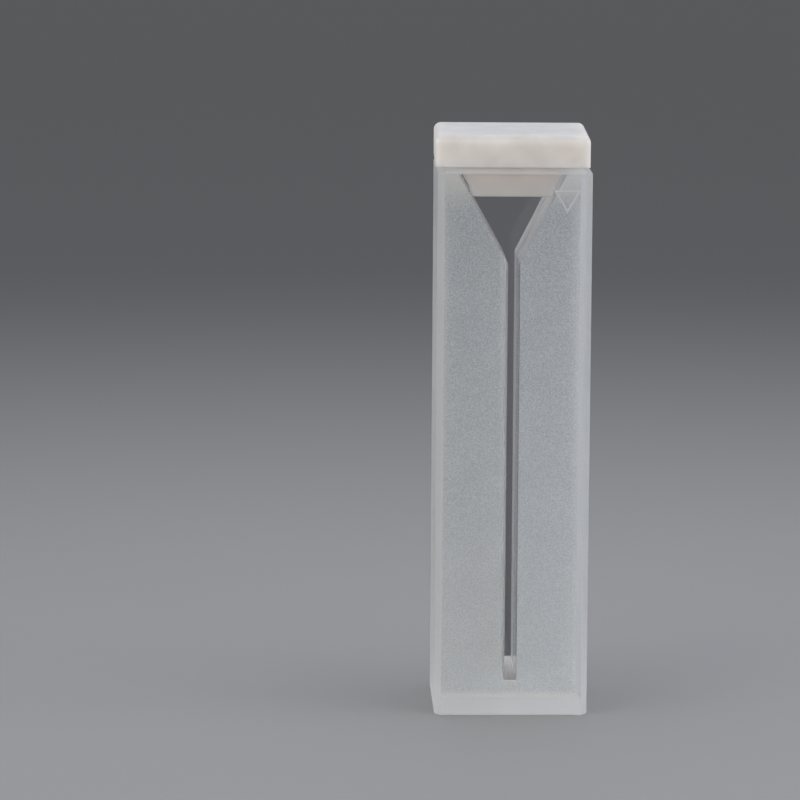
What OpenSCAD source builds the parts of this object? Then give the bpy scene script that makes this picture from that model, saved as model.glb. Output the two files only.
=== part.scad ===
// Semi-micro cuvette with its stopper lid
//
// A fused-quartz cell for a photometer's cell holder. A block of quartz has a
// narrow slot cut through it that opens into a V-shaped funnel at the top, and
// a polished window plate is fused to its front and to its rear. A PTFE lid
// rests on the top face, with a tapered plug that hangs in the funnel.
//
// +Z is up, the light goes along Y, and the front window faces -Y.
// The origin is the middle of the base. All sizes are in millimetres.

/* [Cell] */
// Outside width of the cell, across the light
cell_w = 12.5; // [11.5:0.1:16]
// Outside depth of the cell, along the light
cell_d = 12.5; // [8:0.1:25]
// Height of the cell without its lid
cell_h = 45; // [30:0.5:60]
// Ground flat on every outer edge of the cell
edge_flat = 0.5; // [0.1:0.05:0.8]
// Thickness of the front and of the rear window
window_t = 1.25; // [0.9:0.05:2.5]

/* [Chamber] */
// Width of the slot that holds the sample
slot_w = 1.0; // [0.4:0.1:4]
// Height of the slot's floor above the base
floor_h = 2.7; // [1:0.1:12]
// Width of the funnel's mouth in the top face
mouth_w = 9.4; // [7:0.1:10]
// Depth of the funnel, from the top face to the slot
funnel_h = 7.9; // [5:0.1:14]
// How far the funnel's mouth is ground off the slot's centre line
mouth_shift = -0.2; // [-0.4:0.1:0.4]

/* [Lid] */
// Width of the lid's plate
lid_w = 12.5; // [11:0.1:14]
// Depth of the lid's plate, front to back
lid_d = 12.5; // [8:0.1:25]
// Thickness of the lid's plate
lid_t = 2.6; // [1.6:0.1:6]
// Radius of the plate's upper edges
lid_edge_r = 0.6; // [0.1:0.05:0.75]
// Radius of the plate's upright edges
lid_corner_r = 0.4; // [0.1:0.05:0.75]
// Radius of the plate's lower edges
lid_foot_r = 0.05; // [0.05:0.05:0.3]
// How far the loose lid is turned, as a share of the play that its plug has
lid_turn = -0.6; // [-0.8:0.1:0.8]

/* [Plug] */
// How far the plug reaches down into the funnel
plug_h = 2.45; // [1.2:0.05:3.5]
// Height of the steeper land round the plug's foot
plug_land_h = 0.85; // [0.3:0.05:1]
// Gap between the plug's tapered side and the funnel's wall
plug_side_gap = 0.35; // [0.2:0.05:0.6]
// Gap between the plug's foot and the funnel's wall
plug_foot_gap = 0.15; // [0.1:0.05:0.3]
// Gap between the plug's ends and the windows
plug_end_gap = 0.15; // [0.05:0.05:0.5]

/* [Hidden] */
$fn = 64;

// Anything that has to pass right through a piece runs past it by this much
past = 1;

// The light path: what the two windows leave between them
path_l = cell_d - 2 * window_t;
// Where the funnel narrows to the slot
throat_z = cell_h - funnel_h;
// The plug's foot, and the top of the land above it
plug_foot_z = cell_h - plug_h;
plug_land_z = plug_foot_z + plug_land_h;
// The funnel draws the plug half of its own shift to the side, and the lid with it
lid_shift = mouth_shift / 2;
// The lid can turn until the plug's foot meets the funnel or its ends meet the windows
lid_play = min(
    atan(plug_foot_gap / (path_l / 2 - plug_end_gap)),
    atan(plug_end_gap / (mouth_w / 2)));

// X of the funnel's wall at a height, on the left (side -1) or right (side 1)
function wall_x(side, z) =
    let (throat_x = side * slot_w / 2,
         mouth_x = side * mouth_w / 2 + mouth_shift)
    throat_x + (mouth_x - throat_x) * (z - throat_z) / funnel_h;

// X of the plug's side at a height, a gap in from the funnel's wall
function plug_x(side, z, gap) = wall_x(side, z) - side * gap;

// Stands a drawing made in X and Z upright and runs it along Y
module along_y(depth) {
    translate([0, depth / 2, 0])
        rotate([90, 0, 0])
            linear_extrude(height = depth)
                children();
}

// Stands a drawing made in Y and Z upright and runs it along X
module along_x(width) {
    rotate([0, 0, 90])
        along_y(width)
            children();
}

// A rectangle centred on X that stands on Y = 0, its corners cut off at 45 degrees
module flatted_rect(w, h, flat) {
    polygon([
        [-w / 2 + flat, 0], [w / 2 - flat, 0],
        [w / 2, flat], [w / 2, h - flat],
        [w / 2 - flat, h], [-w / 2 + flat, h],
        [-w / 2, h - flat], [-w / 2, flat]
    ]);
}

// A rectangle centred on X that stands on Y = 0, with one radius at its lower
// corners and one at its upper corners
module rounded_rect(w, h, r_low, r_high) {
    for (side = [-1, 1]) {
        translate([side * (w / 2 - r_low), r_low]) circle(r = r_low);
        translate([side * (w / 2 - r_high), h - r_high]) circle(r = r_high);
    }
    // The body between the upper and the lower corners
    translate([-w / 2, r_low]) square([w, h - r_low - r_high]);
    translate([-w / 2 + r_low, 0]) square([w - 2 * r_low, h / 2]);
    translate([-w / 2 + r_high, h / 2]) square([w - 2 * r_high, h / 2]);
}

// The outside of the whole fused cell: a square bar with every edge ground flat
module cell_envelope() {
    intersection() {
        along_y(cell_d) flatted_rect(cell_w, cell_h, edge_flat);
        along_x(cell_w) flatted_rect(cell_d, cell_h, edge_flat);
        translate([0, -cell_d / 2, 0])
            linear_extrude(height = cell_h)
                flatted_rect(cell_w, cell_d, edge_flat);
    }
}

// The part of the cell between two distances along the light
module cell_slice(y_from, y_to) {
    intersection() {
        cell_envelope();
        translate([-cell_w, y_from, -past])
            cube([2 * cell_w, y_to - y_from, cell_h + 2 * past]);
    }
}

// Slot and funnel in one outline, open through the top face
module chamber_outline() {
    polygon([
        [-slot_w / 2, floor_h], [slot_w / 2, floor_h],
        [slot_w / 2, throat_z],
        [wall_x(1, cell_h), cell_h], [wall_x(1, cell_h), cell_h + past],
        [wall_x(-1, cell_h), cell_h + past], [wall_x(-1, cell_h), cell_h],
        [-slot_w / 2, throat_z]
    ]);
}

// The quartz block between the windows, with the chamber sawn right through it
module cell_frame() {
    color([0.80, 0.83, 0.86])
        difference() {
            cell_slice(-path_l / 2, path_l / 2);
            along_y(path_l + 2 * past) chamber_outline();
        }
}

// The polished plate that closes the chamber at the front
module front_window() {
    color([0.86, 0.89, 0.92, 0.5])
        cell_slice(-cell_d / 2, -path_l / 2);
}

// The polished plate that closes the chamber at the rear
module rear_window() {
    color([0.86, 0.89, 0.92, 0.5])
        cell_slice(path_l / 2, cell_d / 2);
}

// The square plate of the lid, with every edge rounded
module lid_plate() {
    translate([lid_shift, 0, cell_h])
        intersection() {
            along_y(lid_d) rounded_rect(lid_w, lid_t, lid_foot_r, lid_edge_r);
            along_x(lid_w) rounded_rect(lid_d, lid_t, lid_foot_r, lid_edge_r);
            translate([0, -lid_d / 2, 0])
                linear_extrude(height = lid_t)
                    rounded_rect(lid_w, lid_d, lid_corner_r, lid_corner_r);
        }
}

// The plug under the plate. Its sides follow the funnel's walls down to a
// steeper land, so that only the foot comes close to the quartz.
module lid_plug() {
    root_z = cell_h + lid_t / 2;
    along_y(path_l - 2 * plug_end_gap)
        polygon([
            [plug_x(-1, plug_foot_z, plug_foot_gap), plug_foot_z],
            [plug_x(1, plug_foot_z, plug_foot_gap), plug_foot_z],
            [plug_x(1, plug_land_z, plug_side_gap), plug_land_z],
            [plug_x(1, cell_h, plug_side_gap), cell_h],
            [plug_x(1, cell_h, plug_side_gap), root_z],
            [plug_x(-1, cell_h, plug_side_gap), root_z],
            [plug_x(-1, cell_h, plug_side_gap), cell_h],
            [plug_x(-1, plug_land_z, plug_side_gap), plug_land_z]
        ]);
}

// The PTFE stopper lid, one piece with its plug. It lies loose, turned a little in its seat.
module lid() {
    color([0.93, 0.92, 0.90])
        rotate([0, 0, lid_turn * lid_play])
            union() {
                lid_plate();
                lid_plug();
            }
}

cell_frame();
front_window();
rear_window();
lid();
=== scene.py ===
"""Looks of a semi-micro quartz cuvette and its PTFE stopper lid.

The cell is a square bar of fused quartz: a block with a sawn slot and a ground
funnel, and a polished window fused on at the front and at the rear. The block's
joint with the rear window stays frosted inside a clear rim, so the cell looks
milky to both sides of the clear slot. The lid only rests on the cell, turned by
a degree, with its plug hanging in the funnel.

+Z is up, the light goes along Y, and the front window faces -Y. Shapes are
worked out in millimetres and put into the mesh in metres.
"""

import math

import bpy
import numpy as np
from mathutils import Matrix, Vector


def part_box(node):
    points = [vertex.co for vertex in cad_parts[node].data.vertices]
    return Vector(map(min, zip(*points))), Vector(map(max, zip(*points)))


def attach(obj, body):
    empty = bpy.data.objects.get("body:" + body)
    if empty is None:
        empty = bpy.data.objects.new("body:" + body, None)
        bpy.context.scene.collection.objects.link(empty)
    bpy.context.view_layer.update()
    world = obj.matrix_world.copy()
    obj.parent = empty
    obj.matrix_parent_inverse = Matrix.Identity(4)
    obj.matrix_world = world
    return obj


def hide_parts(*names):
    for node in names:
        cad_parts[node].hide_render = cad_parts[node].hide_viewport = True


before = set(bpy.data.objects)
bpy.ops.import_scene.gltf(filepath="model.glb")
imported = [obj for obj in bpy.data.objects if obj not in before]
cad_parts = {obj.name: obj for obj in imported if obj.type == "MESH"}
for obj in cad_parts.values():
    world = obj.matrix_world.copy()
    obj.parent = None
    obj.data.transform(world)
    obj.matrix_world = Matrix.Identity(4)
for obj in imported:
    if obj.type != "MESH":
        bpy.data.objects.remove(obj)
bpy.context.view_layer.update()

MM = 0.001

# ---------------------------------------------------------------- sizes, in mm

block_high = np.array(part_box("cell_frame")[1]) / MM
window_low = np.array(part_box("front_window")[0]) / MM
lid_low, lid_high = (np.array(corner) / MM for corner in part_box("lid"))

# The fused cell
CELL_HALF = block_high[0]
CELL_H = block_high[2]
PATH_HALF = block_high[1]
FRONT_Y = window_low[1]
EDGE_FLAT = 0.5
BASE_FLAT = 0.15
EDGE_BREAK = 0.05

# The chamber: a slot that opens into a funnel, its mouth ground off the centre line
SLOT_W = 1.0
FLOOR_H = 2.7
MOUTH_W = 9.4
MOUTH_SHIFT = -0.2
FUNNEL_H = 7.9
THROAT_Z = CELL_H - FUNNEL_H

# The frosted joint between the block and the rear window, and the clear rim round it
FROST_T = 0.04
FROST_RIM = 0.5
FROST_FLARE = 0.42

# The bead of quartz that fusing leaves where the slot's floor meets a window. It takes the
# base's opaque white finish and shows as a bright line: a painted glint.
BEAD_R = 0.1

# A clearance between two solids that would otherwise share a face
HAIR = 0.004

# How many points round off a quarter circle: an upright corner, a wide edge, a fine edge and
# the bead
CORNER_POINTS = 13
WIDE_EDGE_POINTS = 13
FINE_EDGE_POINTS = 7
BEAD_POINTS = 6

# The mark etched under the front window's surface: a triangle that points down
MARK_W = 1.9
MARK_H = 1.65
MARK_LINE = 0.14
MARK_X = 4.2
MARK_Z = CELL_H - 2.7
MARK_DEPTH = 0.02
MARK_T = 0.01

# The lid's plate
LID_W = 12.5
LID_D = 12.5
LID_SHIFT = MOUTH_SHIFT / 2
LID_TOP_R = 0.6
LID_FOOT_R = 0.02
LID_CORNER_R = 0.4

# The plug under it
PLUG_LAND_H = 0.85
PLUG_SIDE_GAP = 0.35
PLUG_FOOT_GAP = 0.15
PLUG_END_GAP = 0.15
PLUG_CORNER_R = 0.3
PLUG_EDGE_R = 0.1
PLUG_HALF_D = PATH_HALF - PLUG_END_GAP

# The lid lies turned by a share of the play that its plug has in the funnel
LID_TURN_SHARE = -0.6
LID_PLAY = min(math.atan(PLUG_FOOT_GAP / PLUG_HALF_D), math.atan(PLUG_END_GAP / (MOUTH_W / 2)))
LID_TURN = LID_TURN_SHARE * LID_PLAY


# ------------------------------------------------------------------- materials


def linear(hex_colour):
    """An sRGB hex colour as the linear red, green, blue and alpha that nodes take."""
    srgb = [int(hex_colour[i:i + 2], 16) / 255 for i in (1, 3, 5)]
    return [c / 12.92 if c <= 0.04045 else ((c + 0.055) / 1.055) ** 2.4 for c in srgb] + [1.0]


def add_node(tree, kind, inputs, **settings):
    """Adds a shader node. Settings are its own options, and inputs gives each of its sockets,
    by name or number, a value or the output that feeds it."""
    node = tree.nodes.new("ShaderNode" + kind)
    for option, value in settings.items():
        setattr(node, option, value)
    for socket, value in inputs.items():
        if isinstance(value, bpy.types.NodeSocket):
            tree.links.new(value, node.inputs[socket])
        else:
            node.inputs[socket].default_value = value
    return node


def new_material(name):
    """An empty node material, its node tree, its output's surface socket and the piece's own
    coordinates."""
    material = bpy.data.materials.new(name)
    material.use_nodes = True
    tree = material.node_tree
    tree.nodes.clear()
    surface = tree.nodes.new("ShaderNodeOutputMaterial").inputs["Surface"]
    return material, tree, surface, add_node(tree, "TexCoord", {}).outputs["Object"]


QUARTZ_IOR = 1.458


def polished_quartz():
    # Fused quartz, optically polished: clear as water and quite smooth. It is flat to half a
    # micrometre or so, and that slow swell, 3 mm from crest to crest, only just bends what is
    # seen through it.
    swell_size = 3.0
    swell_height = 0.0006
    material, tree, surface, place = new_material("polished fused quartz")
    swell = add_node(tree, "TexNoise", {"Vector": place, "Scale": 1 / (swell_size * MM), "Detail": 1.0})
    bump = add_node(tree, "Bump", {
        "Strength": 1.0, "Distance": swell_height * MM, "Height": swell.outputs[0]})
    shader = add_node(tree, "BsdfPrincipled", {
        "Base Color": linear("#ffffff"), "Roughness": 0.0, "IOR": QUARTZ_IOR,
        "Transmission Weight": 1.0, "Normal": bump.outputs[0]})
    tree.links.new(shader.outputs[0], surface)
    return material


def ground_quartz(name, pale, dull, roughness, transmission, glow, grain=0.15, stretch=(1, 1, 1), painted_rear_light=0.0):
    # Fused quartz cut with grit. Every grain leaves a tiny pit, so the face looks matt and
    # milky, and light comes through it without an image. grain is the size of the mottling in
    # mm, and stretch makes streaks of it: a share below 1 draws it out along that axis, as a
    # wire or a wheel does. The grit is finer than 0.05 mm, so both are drawn as coarse as they
    # need to be to show. glow is the share of the face that passes light on evenly to all
    # sides, and the last argument is painted light: how much paler the face is painted towards the rear, by
    # the millimetre.
    pit_depth = 0.008
    # The noise keeps between about these two, which take the dull and the pale colour
    tone_low, tone_high = 0.25, 0.75
    material, tree, surface, place = new_material(name)
    scaled = add_node(tree, "Mapping", {"Vector": place, "Scale": [k / (grain * MM) for k in stretch]})
    grit = add_node(tree, "TexNoise", {"Vector": scaled.outputs[0], "Scale": 1.0, "Detail": 2.0})
    split = add_node(tree, "SeparateXYZ", {"Vector": place})
    tone = add_node(tree, "Math", {0: split.outputs["Y"], 1: painted_rear_light / MM, 2: grit.outputs[0]},
                    operation="MULTIPLY_ADD")
    spread = add_node(tree, "MapRange", {
        "Value": tone.outputs[0], "From Min": tone_low, "From Max": tone_high})
    colour = add_node(tree, "Mix", {
        "Factor": spread.outputs[0], "A": linear(dull), "B": linear(pale)}, data_type="RGBA")
    bump = add_node(tree, "Bump", {
        "Strength": 1.0, "Distance": pit_depth * MM, "Height": grit.outputs[0]})
    shader = add_node(tree, "BsdfPrincipled", {
        "Base Color": colour.outputs["Result"], "Roughness": roughness, "IOR": QUARTZ_IOR,
        "Transmission Weight": transmission, "Normal": bump.outputs[0]})
    haze = add_node(tree, "BsdfTranslucent", {"Color": colour.outputs["Result"]})
    both = add_node(tree, "MixShader", {0: glow, 1: shader.outputs[0], 2: haze.outputs[0]})
    tree.links.new(both.outputs[0], surface)
    return material


def frosted_joint():
    # The ground face of the block, fused to the rear window: a sheet of grit pits and tiny
    # bubbles. It scatters light as fresh snow does, and shows as a fine even grain, bluish grey
    # to bluish white, through the clear front window. The grit is about 0.04 mm, drawn at 0.12 mm
    # so that it shows, and faint clouds 2.5 mm across run through it. Painted light: it is whiter,
    # and passes less light, beside the slot, at the foot, towards the bottom and most under the
    # top face, where the real sheet is lit more. It is whiter along both sides too.
    grit_size = 0.1187
    cloud_size = 2.5
    cloud_share = 0.12
    tone_low, tone_high = 0.315, 0.685
    haze_share = 0.15
    material, tree, surface, place = new_material("frosted quartz joint")
    grit = add_node(tree, "TexNoise", {"Vector": place, "Scale": 1 / (grit_size * MM), "Detail": 1.0})
    cloud = add_node(tree, "TexNoise", {"Vector": place, "Scale": 1 / (cloud_size * MM), "Detail": 2.0})
    both = add_node(tree, "Mix", {"Factor": cloud_share, "A": grit.outputs[0], "B": cloud.outputs[0]})
    spread = add_node(tree, "MapRange", {
        "Value": both.outputs[0], "From Min": tone_low, "From Max": tone_high})
    body = add_node(tree, "Mix", {
        "Factor": spread.outputs[0], "A": linear("#c8ced2"), "B": linear("#edf2f5")}, data_type="RGBA")
    split = add_node(tree, "SeparateXYZ", {"Vector": place})
    across = add_node(tree, "Math", {0: split.outputs["X"]}, operation="ABSOLUTE").outputs[0]
    up = split.outputs["Z"]
    # Each band goes from nothing at its first place, in mm, to its full share at the second
    paler_bands = [
        add_node(tree, "MapRange", {
            "Value": reading, "From Min": start * MM, "From Max": end * MM, "To Max": share},
            interpolation_type="SMOOTHSTEP").outputs[0]
        for reading, start, end, share in (
            (across, 4.6, 5.9, 0.45),
            (across, 1.1, 0.5, 0.3),
            (up, 40.0, 44.3, 1.0),
            (up, 1.0, -0.1, 0.78),
            (up, 40.0, 0.0, 0.3))]
    paler_share = paler_bands[0]
    for band in paler_bands[1:]:
        paler_share = add_node(tree, "Math", {0: paler_share, 1: band}, operation="MAXIMUM").outputs[0]
    # Painted light: the sheet's colour goes towards a near white by the paler share
    colour = add_node(tree, "Mix", {
        "Factor": paler_share, "A": body.outputs["Result"], "B": linear("#fffefb")}, data_type="RGBA")
    shader = add_node(tree, "BsdfPrincipled", {
        "Base Color": colour.outputs["Result"], "Roughness": 0.9, "Specular IOR Level": 0.0})
    haze = add_node(tree, "BsdfTranslucent", {"Color": colour.outputs["Result"]})
    # Light comes through the sheet, less where it is painted whiter, and none where the paler share is full
    through = add_node(tree, "MapRange", {"Value": paler_share, "To Min": haze_share, "To Max": 0.0})
    sheet = add_node(tree, "MixShader", {0: through.outputs[0], 1: shader.outputs[0], 2: haze.outputs[0]})
    tree.links.new(sheet.outputs[0], surface)
    return material


def etched_quartz():
    # Quartz etched to a white bloom a few micrometres deep: flat white with no gloss at all,
    # and a little uneven along its line, in patches of 0.3 mm.
    patch_size = 0.3
    tone_low, tone_high = 0.35, 0.65
    haze_share = 0.4
    material, tree, surface, place = new_material("etched quartz mark")
    patch = add_node(tree, "TexNoise", {"Vector": place, "Scale": 1 / (patch_size * MM), "Detail": 1.0})
    spread = add_node(tree, "MapRange", {
        "Value": patch.outputs[0], "From Min": tone_low, "From Max": tone_high})
    colour = add_node(tree, "Mix", {
        "Factor": spread.outputs[0], "A": linear("#fafbfc"), "B": linear("#ffffff")}, data_type="RGBA")
    shader = add_node(tree, "BsdfPrincipled", {
        "Base Color": colour.outputs["Result"], "Roughness": 0.9, "Specular IOR Level": 0.0})
    haze = add_node(tree, "BsdfTranslucent", {"Color": colour.outputs["Result"]})
    both = add_node(tree, "MixShader", {0: haze_share, 1: shader.outputs[0], 2: haze.outputs[0]})
    tree.links.new(both.outputs[0], surface)
    return material


def machined_ptfe(name, dull, pale):
    # White PTFE, milled from bar: waxy and soft to the eye, because light goes a millimetre or
    # two into it and comes back a shade warmer. The cutter leaves faint lines along X, 0.2 mm
    # apart and 3.3 mm long, and the pressed powder shows as clouds 1.8 mm across. The rounded
    # upper edges are painted a shade greyer: painted shade that dulls the highlight they catch.
    line_length = 3.3
    line_pitch = 0.2
    line_depth = 0.006
    cloud_size = 1.8
    light_depth = 2.5
    tone_low, tone_high = 0.3, 0.7
    material, tree, surface, place = new_material(name)
    drawn = add_node(tree, "Mapping", {
        "Vector": place, "Scale": [1 / (size * MM) for size in (line_length, line_pitch, line_pitch)]})
    lines = add_node(tree, "TexNoise", {"Vector": drawn.outputs[0], "Scale": 1.0, "Detail": 2.0})
    cloud = add_node(tree, "TexNoise", {"Vector": place, "Scale": 1 / (cloud_size * MM), "Detail": 2.0})
    spread = add_node(tree, "MapRange", {
        "Value": cloud.outputs[0], "From Min": tone_low, "From Max": tone_high})
    body = add_node(tree, "Mix", {
        "Factor": spread.outputs[0], "A": linear(dull), "B": linear(pale)}, data_type="RGBA")
    # With z the upward part of the surface's normal, z * z * (1 - z * z) is a quarter on an
    # edge that faces up at 45 degrees, and nothing on a level or an upright face
    facing = add_node(tree, "SeparateXYZ", {"Vector": add_node(tree, "TexCoord", {}).outputs["Normal"]})
    level = add_node(tree, "Math", {0: facing.outputs["Z"], 1: facing.outputs["Z"]}, operation="MULTIPLY")
    upright = add_node(tree, "Math", {0: 1.0, 1: level.outputs[0]}, operation="SUBTRACT")
    edge = add_node(tree, "Math", {0: level.outputs[0], 1: upright.outputs[0]}, operation="MULTIPLY")
    painted_edge_shade = add_node(tree, "MapRange", {"Value": edge.outputs[0], "From Max": 0.25})
    # Painted shade: a light grey is multiplied in on edges that face up at 45 degrees, to dull their
    # highlight
    colour = add_node(tree, "Mix", {
        "Factor": painted_edge_shade.outputs[0], "A": body.outputs["Result"], "B": linear("#f0f0f0")},
        data_type="RGBA", blend_type="MULTIPLY")
    bump = add_node(tree, "Bump", {
        "Strength": 1.0, "Distance": line_depth * MM, "Height": lines.outputs[0]})
    shader = add_node(tree, "BsdfPrincipled", {
        "Base Color": colour.outputs["Result"], "Roughness": 0.6, "IOR": 1.35,
        "Subsurface Weight": 1.0, "Subsurface Scale": light_depth * MM,
        "Subsurface Radius": (1.0, 0.9, 0.8), "Normal": bump.outputs[0]})
    tree.links.new(shader.outputs[0], surface)
    return material


POLISHED = polished_quartz()

# The two outer sides and the top face, ground on a plate: even and pale, lit from within
GROUND = ground_quartz("plate ground quartz", "#fcfdfe", "#eef1f3", 0.5, 0.8, 0.7)

# The flats along the uprights. Those at the front let the side light into the cell. Those at
# the rear lie behind all the quartz, and only their glow reaches the eye.
FRONT_ARRIS = ground_quartz("ground quartz front arrises", "#fcfdfe", "#f2f4f6", 0.5, 0.68, 0.55)
REAR_ARRIS = ground_quartz("ground quartz rear arrises", "#fdfeff", "#f0f2f4", 0.6, 0.1, 0.9)

# The flats round the top face, half clear: the plug and the frosted joint show through them,
# softly, right up to the lid
TOP_ARRIS = ground_quartz("ground quartz top arrises", "#ffffff", "#fafafa", 0.4, 0.76, 0.1)

# The base, ground with coarse grit, hardly lets light through: a white band at the foot
BASE = ground_quartz("coarse ground quartz", "#ffffff", "#f6f6f6", 0.6, 0.0, 0.0)
BASE_ARRIS = ground_quartz("coarse ground quartz front arris", "#ffffff", "#f6f6f6", 0.5, 0.0, 0.5)

# The slot's walls and floor and the funnel's walls are painted paler towards the rear: painted light that
# falls in from the rear
# The slot's walls, cut by a wire that runs up and down: fine upright streaks, and dark where
# the eye looks along them
SLOT = ground_quartz("wire sawn quartz", "#ffffff", "#a0a0a0", 0.16, 0.75, 0.21,
                     grain=1.0, stretch=(0.5, 0.4, 0.03), painted_rear_light=0.08)
# The slot's floor, where the wire stopped: opaque, with streaks along the light path
SLOT_FLOOR = ground_quartz("wire sawn quartz floor", "#ffffff", "#e4e2e0", 0.6, 0.0, 0.0,
                           grain=1.0, stretch=(4.0, 0.3, 1.0), painted_rear_light=0.06)
# The funnel's walls, ground by a wheel that moves down the slope: broad streaks down it
FUNNEL = ground_quartz("wheel ground quartz", "#ffffff", "#b6b4b4", 0.2, 0.75, 0.17,
                       grain=1.0, stretch=(0.05, 0.5, 0.05), painted_rear_light=0.06)

FROST = frosted_joint()
ETCH = etched_quartz()

# The plug is painted a cleaner white than the plate, though both are the same PTFE: painted light that makes
# up for the shade it hangs in, in the funnel under the plate
PTFE_PLATE = machined_ptfe("machined PTFE", "#d3d0cd", "#dddbd8")
PTFE_PLUG = machined_ptfe("machined PTFE plug", "#eae6e3", "#efebe8")


# ------------------------------------------------------------------ mesh tools


def ring_faces(count, size, looped=False):
    """The faces of a stack of rings, as lists of point numbers. Point p of ring r is number
    r * size + p. A quad joins each pair of neighbouring points to the same pair on the next
    ring. The first and the last ring are closed by a face each, or joined to each other where
    the stack is looped."""
    steps = count if looped else count - 1
    ring, place = np.meshgrid(np.arange(steps), np.arange(size), indexing="ij")
    beside = (place + 1) % size
    above = (ring + 1) % count
    quads = np.stack([ring * size + place, ring * size + beside,
                      above * size + beside, above * size + place], axis=-1).reshape(-1, 4)
    if looped:
        return quads.tolist()
    first = np.arange(size)[::-1]
    last = (count - 1) * size + np.arange(size)
    return [*quads.tolist(), first.tolist(), last.tolist()]


def ring_solid(name, rings, materials, finish=None, looped=False):
    """A closed solid skinned over a stack of rings of points in mm, each with as many points,
    and anticlockwise as seen from the last one. finish numbers the material of each face."""
    mesh = bpy.data.meshes.new(name)
    points = np.concatenate(rings) * MM
    mesh.from_pydata(points.tolist(), [], ring_faces(len(rings), len(rings[0]), looped))
    for material in materials:
        mesh.materials.append(material)
    if finish is not None:
        mesh.polygons.foreach_set("material_index", np.asarray(finish, dtype=np.int32))
    mesh.validate()
    mesh.update()
    piece = bpy.data.objects.new(name, mesh)
    bpy.context.scene.collection.objects.link(piece)
    return piece


def at_y(outline, y):
    """An outline of X and Z points as a ring in the upright plane at y."""
    x, z = np.asarray(outline, dtype=float).T
    return np.column_stack([x, np.full(len(x), y), z])


def wall_x(side, z):
    """X of the funnel's wall on the left (side -1) or right (side 1) at a height: on a
    straight line from the slot's edge at the throat to the mouth's edge in the top face."""
    throat_x = side * SLOT_W / 2
    mouth_x = side * MOUTH_W / 2 + MOUTH_SHIFT
    return throat_x + (mouth_x - throat_x) * (z - THROAT_Z) / FUNNEL_H


# ------------------------------------------------------------------------ cell


def flatted_ring(inset, flat, z):
    """A level ring of eight points: the cell's square outline drawn in by an inset, with each
    corner cut off by a flat that takes the same length from both of its sides. It starts at
    the front right corner and goes round anticlockwise as seen from above."""
    half = CELL_HALF - inset
    near = half - flat
    return np.array([
        [near, -half, z], [half, -near, z], [half, near, z], [near, half, z],
        [-near, half, z], [-half, near, z], [-half, -near, z], [-near, -half, z]])


def flat_inside(flat, inset):
    """What is left of a corner's flat where the outline is drawn in by an inset: the diagonal
    side moves in as far as the other two, so the flat loses the inset times two minus the root
    of two."""
    return flat - (2 - math.sqrt(2)) * inset


def chamber_ring(x_left, x_right, z):
    """A level ring of eight points round the chamber's rectangle, a spare point beside each
    corner so that it has as many as the outside and in the same order."""
    spare_share = 0.2
    spare = spare_share * (x_right - x_left)
    left, right = x_left + spare, x_right - spare
    front, rear = -PATH_HALF, PATH_HALF
    return np.array([
        [right, front, z], [x_right, front, z], [x_right, rear, z], [right, rear, z],
        [left, rear, z], [x_left, rear, z], [x_left, front, z], [left, front, z]])


def make_cell():
    """The fused cell in one skin. Its rings go up the outside, from the base's flats over the
    upright faces to the top's flats, and then down inside, over the funnel's straight walls to
    the throat and down the slot to its floor."""
    rings = [
        flatted_ring(BASE_FLAT, flat_inside(EDGE_FLAT, BASE_FLAT), 0.0),
        flatted_ring(0.0, EDGE_FLAT, BASE_FLAT),
        flatted_ring(0.0, EDGE_FLAT, CELL_H - EDGE_FLAT),
        flatted_ring(EDGE_FLAT, flat_inside(EDGE_FLAT, EDGE_FLAT), CELL_H),
        chamber_ring(wall_x(-1, CELL_H), wall_x(1, CELL_H), CELL_H),
        chamber_ring(-SLOT_W / 2, SLOT_W / 2, THROAT_Z),
        chamber_ring(-SLOT_W / 2, SLOT_W / 2, FLOOR_H),
    ]
    upper_outer, top = 2, 3
    # The sides of each band, in ring order: front right flat, right, rear right flat, rear,
    # rear left flat, left, front left flat, front
    paler_bands = [
        [BASE, BASE, BASE, BASE, BASE, BASE, BASE, BASE_ARRIS],
        [FRONT_ARRIS, GROUND, REAR_ARRIS, POLISHED, REAR_ARRIS, GROUND, FRONT_ARRIS, POLISHED],
        [TOP_ARRIS] * 8,
        [GROUND] * 8,
        [POLISHED, FUNNEL, POLISHED, POLISHED, POLISHED, FUNNEL, POLISHED, POLISHED],
        [POLISHED, SLOT, POLISHED, POLISHED, POLISHED, SLOT, POLISHED, POLISHED],
    ]
    faces = [material for band in paler_bands for material in band] + [BASE, SLOT_FLOOR]
    finishes = [POLISHED, GROUND, FRONT_ARRIS, REAR_ARRIS, TOP_ARRIS, BASE, BASE_ARRIS,
                SLOT, SLOT_FLOOR, FUNNEL]
    number = {material.name: place for place, material in enumerate(finishes)}
    cell = ring_solid("quartz_cell", rings, finishes, [number[material.name] for material in faces])

    # The upright edges and those round the top's flats are broken by a touch of the plate. The
    # base's own edges stay crisp, and so do those of the chamber, which are fused.
    ends = np.empty(2 * len(cell.data.edges), dtype=np.int32)
    cell.data.edges.foreach_get("vertices", ends)
    ring = ends.reshape(-1, 2) // len(rings[0])
    lower, upper = ring.min(axis=1), ring.max(axis=1)
    broken = (lower < top) & (upper >= upper_outer) & (upper <= top)
    weight = cell.data.attributes.new("bevel_weight_edge", "FLOAT", "EDGE")
    weight.data.foreach_set("value", broken.astype(np.float32))
    bevel = cell.modifiers.new("broken_edges", "BEVEL")
    bevel.width = EDGE_BREAK * MM
    bevel.segments = 2
    bevel.limit_method = "WEIGHT"
    bevel.material = number[FRONT_ARRIS.name]
    return cell


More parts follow.
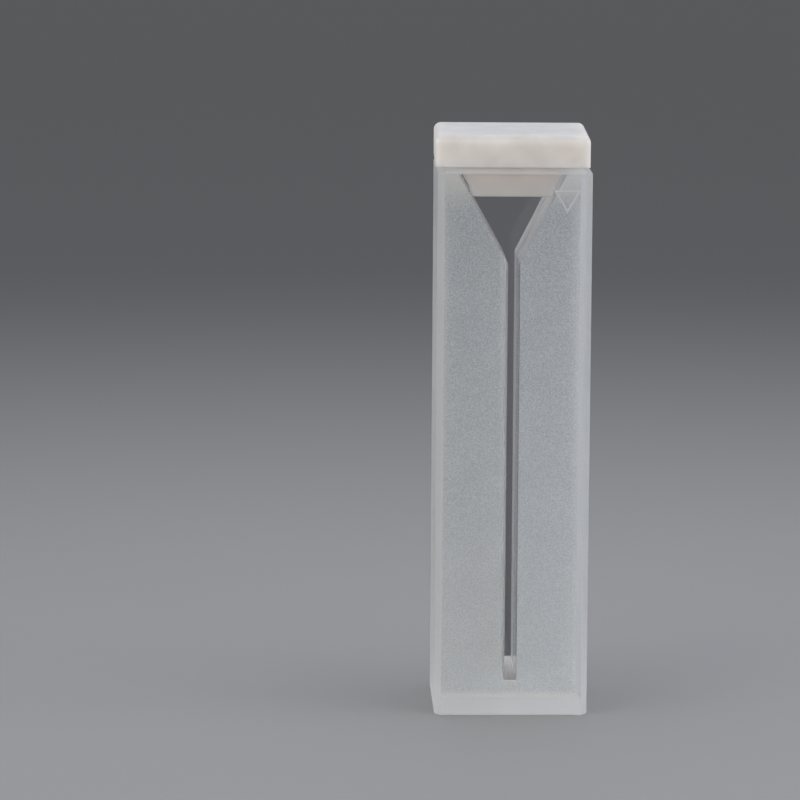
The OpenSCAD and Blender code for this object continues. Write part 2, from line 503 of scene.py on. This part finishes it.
def make_joint():
    """The frosted sheet: one outline in X and Z, carried along Y for its thickness. The
    outline is the block's face less the clear rim, with the slot and the funnel cut out of
    it, and it flares out at the foot to cover the base's corners."""
    half = CELL_HALF - FROST_RIM
    foot, top = HAIR, CELL_H - HAIR
    slot = SLOT_W / 2 + HAIR
    outline = [
        [-half, foot], [half, foot], [half + FROST_FLARE, FROST_RIM], [half, 2 * FROST_RIM], [half, top],
        [wall_x(1, CELL_H) + HAIR, top], [slot, THROAT_Z], [slot, FLOOR_H - HAIR],
        [-slot, FLOOR_H - HAIR], [-slot, THROAT_Z], [wall_x(-1, CELL_H) - HAIR, top],
        [-half, top], [-half, 2 * FROST_RIM], [-half - FROST_FLARE, FROST_RIM]]
    return ring_solid("joint_frost", [at_y(outline, PATH_HALF), at_y(outline, PATH_HALF - FROST_T)], [FROST])


def make_bead(name, side):
    """The bead in the corner of the slot's floor and a window (side -1 for the front one, 1
    for the rear): a hollow quarter circle tangent to both, with the corner behind it, carried
    along X from wall to wall."""
    turn = np.linspace(0, math.pi / 2, BEAD_POINTS)
    window_y = side * (PATH_HALF - HAIR)
    floor_z = FLOOR_H + HAIR
    y = np.append(window_y - side * BEAD_R * (1 - np.sin(turn)), window_y)
    z = np.append(floor_z + BEAD_R * (1 - np.cos(turn)), floor_z)
    half = SLOT_W / 2 - HAIR
    # The rear profile is a mirror image, so its points are taken the other way round
    ends = [np.column_stack([np.full(len(y), x), y, z])[::-side] for x in (-half, half)]
    # The opaque white finish paints a glint along the slot's floor
    return ring_solid(name, ends, [BASE])


def grown_triangle(grow):
    """The mark's triangle in X and Z, point down, with each side moved out by a distance. Its
    upper corners then move up by the distance, and sideways by it over the tangent of half
    their angle. Its point moves down by the distance over the sine of half the point's angle."""
    half_w = MARK_W / 2
    corner = math.atan(MARK_H / half_w)
    half_point = math.atan(half_w / MARK_H)
    reach = half_w + grow / math.tan(corner / 2)
    upper = MARK_Z + MARK_H / 2 + grow
    lower = MARK_Z - MARK_H / 2 - grow / math.sin(half_point)
    return [[MARK_X - reach, upper], [MARK_X, lower], [MARK_X + reach, upper]]


def make_mark():
    """One line drawn round a triangle: the space between the triangle grown and shrunk by half
    the line's width, carried along Y for the depth of the bloom. Its four outlines are joined
    in a loop, so the middle stays open."""
    outer, inner = grown_triangle(MARK_LINE / 2), grown_triangle(-MARK_LINE / 2)
    front = FRONT_Y + MARK_DEPTH
    rear = front + MARK_T
    loop = [at_y(outer, rear), at_y(outer, front), at_y(inner, front), at_y(inner, rear)]
    return ring_solid("etched_mark", loop, [ETCH], looped=True)


# ------------------------------------------------------------------------- lid


def rounded_ring(x_left, x_right, y_front, y_rear, radius, z):
    """A level ring round a rectangle with rounded corners: a quarter circle of evenly spaced
    points about each corner's centre, which lies a radius in from both sides. It starts at the
    front right corner and goes round anticlockwise as seen from above."""
    corners = np.array([[x_right, y_front], [x_right, y_rear], [x_left, y_rear], [x_left, y_front]])
    inward = np.array([[-1, 1], [-1, -1], [1, -1], [1, 1]])
    centres = corners + radius * inward
    angles = np.radians([[-90], [0], [90], [180]]) + np.linspace(0, math.pi / 2, CORNER_POINTS)
    x = (centres[:, :1] + radius * np.cos(angles)).ravel()
    y = (centres[:, 1:] + radius * np.sin(angles)).ravel()
    return np.column_stack([x, y, np.full(len(x), z)])


def plug_ring(z, gap, inset=0.0):
    """A ring of the plug at a height: the funnel's rectangle there, less a gap to each wall and
    the end gap to each window, drawn in by an inset."""
    return rounded_ring(wall_x(-1, z) + gap + inset, wall_x(1, z) - gap - inset,
                        -PLUG_HALF_D + inset, PLUG_HALF_D - inset, PLUG_CORNER_R - inset, z)


def plate_ring(z, inset):
    """A ring of the plate at a height: its rectangle drawn in by an inset, its corners' radius
    falling in step to a twentieth where the inset is the whole of the upper edge's radius."""
    lost_share = 0.95
    half_w, half_d = LID_W / 2 - inset, LID_D / 2 - inset
    radius = LID_CORNER_R * (1 - lost_share * inset / LID_TOP_R)
    return rounded_ring(LID_SHIFT - half_w, LID_SHIFT + half_w, -half_d, half_d, radius, z)


def make_lid():
    """The lid in one skin, its rings going up. Each rounded edge is a quarter circle: at the
    angle t its ring is drawn in by the radius times one minus the sine or cosine of t, and its
    height follows the other of the two. The plug's sides run straight from its foot to its
    land, and straight on to the plate. The whole is then turned about Z."""
    foot_z = lid_low[2]
    seat_z = CELL_H + HAIR
    top_z = lid_high[2]
    rings = [
        plug_ring(foot_z + PLUG_EDGE_R * (1 - math.cos(t)), PLUG_FOOT_GAP, PLUG_EDGE_R * (1 - math.sin(t)))
        for t in np.linspace(0, math.pi / 2, FINE_EDGE_POINTS)]
    rings += [plug_ring(foot_z + PLUG_LAND_H, PLUG_SIDE_GAP), plug_ring(CELL_H, PLUG_SIDE_GAP)]
    rings.append(rings[-1] + [0, 0, HAIR])
    plug_bands = len(rings) - 1
    rings += [
        plate_ring(seat_z + LID_FOOT_R * (1 + math.sin(t)), LID_FOOT_R * (1 - math.cos(t)))
        for t in np.linspace(-math.pi / 2, 0, FINE_EDGE_POINTS)]
    rings += [
        plate_ring(top_z - LID_TOP_R * (1 - math.sin(t)), LID_TOP_R * (1 - math.cos(t)))
        for t in np.linspace(0, math.pi / 2, WIDE_EDGE_POINTS)]
    cos_turn, sin_turn = math.cos(LID_TURN), math.sin(LID_TURN)
    turn = np.array([[cos_turn, sin_turn, 0], [-sin_turn, cos_turn, 0], [0, 0, 1]])
    # The plug's bands, and the face that closes the first ring, take the second material
    size = len(rings[0])
    finish = np.zeros((len(rings) - 1) * size + 2, dtype=np.int32)
    finish[:plug_bands * size] = 1
    finish[-2] = 1
    return ring_solid("stopper_lid", [ring @ turn for ring in rings], [PTFE_PLATE, PTFE_PLUG], finish)


# ---------------------------------------------------------------------- pieces

cell = make_cell()
joint = make_joint()
mark = make_mark()
beads = [make_bead("front_bead", -1), make_bead("rear_bead", 1)]
lid = make_lid()
for piece in (cell, joint, mark, *beads, lid):
    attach(piece, "root")
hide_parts("cell_frame", "front_window", "rear_window")
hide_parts("lid")


# ----------------------------------------------------------------------- stage

# The floor is painted pale grey round the cell, falling off to a darker grey further out: a painted pool of
# light
FLOOR_HALF = 3000
FLOOR_DROP = 0.02
FLOOR_T = 1.0
FLOOR_NEAR = "#9f9e9e"
FLOOR_FAR = "#5b5a5b"
POOL_IN, POOL_OUT = 30, 320

# Straight through the clear quartz the floor is painted dark, darkest right behind the cell: painted shade,
# as dim as the far end of the studio
BEHIND_NEAR = "#3d3c3f"
BEHIND_FAR = "#5a595c"
BEHIND_IN, BEHIND_OUT = 10, 360


def studio_card():
    # Matt card with a painted pool of light round the middle
    material, tree, surface, place = new_material("studio card")
    reach = add_node(tree, "VectorMath", {0: place}, operation="LENGTH").outputs["Value"]
    painted_pool = add_node(tree, "MapRange", {
        "Value": reach, "From Min": POOL_IN * MM, "From Max": POOL_OUT * MM}, interpolation_type="SMOOTHSTEP")
    seen = add_node(tree, "Mix", {
        "Factor": painted_pool.outputs[0], "A": linear(FLOOR_NEAR), "B": linear(FLOOR_FAR)}, data_type="RGBA")
    fade = add_node(tree, "MapRange", {
        "Value": reach, "From Min": BEHIND_IN * MM, "From Max": BEHIND_OUT * MM})
    painted_shade_behind = add_node(tree, "Mix", {
        "Factor": fade.outputs[0], "A": linear(BEHIND_NEAR), "B": linear(BEHIND_FAR)}, data_type="RGBA")
    # A ray that comes through the quartz unscattered has met no matt face on its way
    path = add_node(tree, "LightPath", {})
    unscattered = add_node(tree, "Math", {0: path.outputs["Diffuse Depth"], 1: 0.5}, operation="LESS_THAN")
    through = add_node(tree, "Math", {
        0: path.outputs["Is Transmission Ray"], 1: unscattered.outputs[0]}, operation="MULTIPLY")
    colour = add_node(tree, "Mix", {
        "Factor": through.outputs[0], "A": seen.outputs["Result"], "B": painted_shade_behind.outputs["Result"]},
        data_type="RGBA")
    shader = add_node(tree, "BsdfPrincipled", {
        "Base Color": colour.outputs["Result"], "Roughness": 0.6, "Specular IOR Level": 0.2})
    tree.links.new(shader.outputs[0], surface)
    return material


def make_floor():
    """A thin level square, its upper face a hair under the cell's base."""
    corners = FLOOR_HALF * np.array([[-1, -1], [1, -1], [1, 1], [-1, 1]])
    rings = [np.column_stack([corners, np.full(4, z)]) for z in (-FLOOR_DROP - FLOOR_T, -FLOOR_DROP)]
    return ring_solid("floor", rings, [studio_card()])


make_floor()


def softbox(name, place, aim, size, watts, colour):
    """A rectangular lamp with a diffuser, at a place and aimed at a point, both in mm."""
    lamp = bpy.data.lights.new(name, "AREA")
    lamp.shape = "RECTANGLE"
    lamp.size = size[0] * MM
    lamp.size_y = size[1] * MM
    lamp.energy = watts
    lamp.color = linear(colour)[:3]
    box = bpy.data.objects.new(name, lamp)
    box.location = Vector(place) * MM
    box.rotation_mode = "QUATERNION"
    box.rotation_quaternion = (Vector(aim) - Vector(place)).to_track_quat("-Z", "Y")
    box.visible_camera = False
    bpy.context.scene.collection.objects.link(box)


COOL, NEUTRAL, WARM = "#e8f0ff", "#f6f9ff", "#fff3e6"
SQUARE, WIDE = (300, 300), (300, 180)
for name, place, aim, size, watts, colour in (
        ("top_softbox", (0, 0, 400), (0, 0, 20), SQUARE, 0.37, COOL),
        ("left_softbox", (-360, -60, 100), (0, 0, 30), WIDE, 0.175, NEUTRAL),
        ("right_softbox", (360, -60, 100), (0, 0, 30), WIDE, 0.48, NEUTRAL),
        ("front_left_softbox", (-270, -270, 100), (0, 0, 30), WIDE, 0.52, WARM),
        ("front_right_softbox", (270, -270, 100), (0, 0, 30), WIDE, 0.29, WARM)):
    softbox(name, place, aim, size, watts, colour)


SKY_STRENGTH = 0.534


def make_world():
    """Even light from all round, a touch cooler from above."""
    world = bpy.data.worlds.new("studio")
    bpy.context.scene.world = world
    world.use_nodes = True
    tree = world.node_tree
    tree.nodes.clear()
    surface = tree.nodes.new("ShaderNodeOutputWorld").inputs["Surface"]
    split = add_node(tree, "SeparateXYZ", {"Vector": add_node(tree, "TexCoord", {}).outputs["Generated"]})
    cast = add_node(tree, "Mix", {
        "Factor": split.outputs["Z"], "A": linear("#ffffff"), "B": linear("#eef4ff")}, data_type="RGBA")
    sky = add_node(tree, "Background", {"Color": cast.outputs["Result"], "Strength": SKY_STRENGTH})
    tree.links.new(sky.outputs[0], surface)


make_world()

# The camera stands well back with a long lens, looks down a little, and keeps the cell to the
# right of the middle. Its place is in mm, and its turns are in degrees.
CAMERA_PLACE = (-18.68, -386.1, 82.02)
CAMERA_LENS = 213.42
CAMERA_PAN, CAMERA_DIP, CAMERA_ROLL = -1.429, 8.374, 0.367

camera_data = bpy.data.cameras.new("camera")
camera_data.sensor_width = 36
camera_data.lens = CAMERA_LENS
camera_data.clip_start = 0.01
camera_data.clip_end = 20
camera = bpy.data.objects.new("camera", camera_data)
camera.matrix_world = (
    Matrix.Translation(Vector(CAMERA_PLACE) * MM)
    @ Matrix.Rotation(math.radians(CAMERA_PAN), 4, "Z")
    @ Matrix.Rotation(math.radians(90 - CAMERA_DIP), 4, "X")
    @ Matrix.Rotation(math.radians(CAMERA_ROLL), 4, "Z"))
bpy.context.scene.collection.objects.link(camera)
bpy.context.scene.camera = camera
bpy.context.scene.view_settings.view_transform = "Standard"
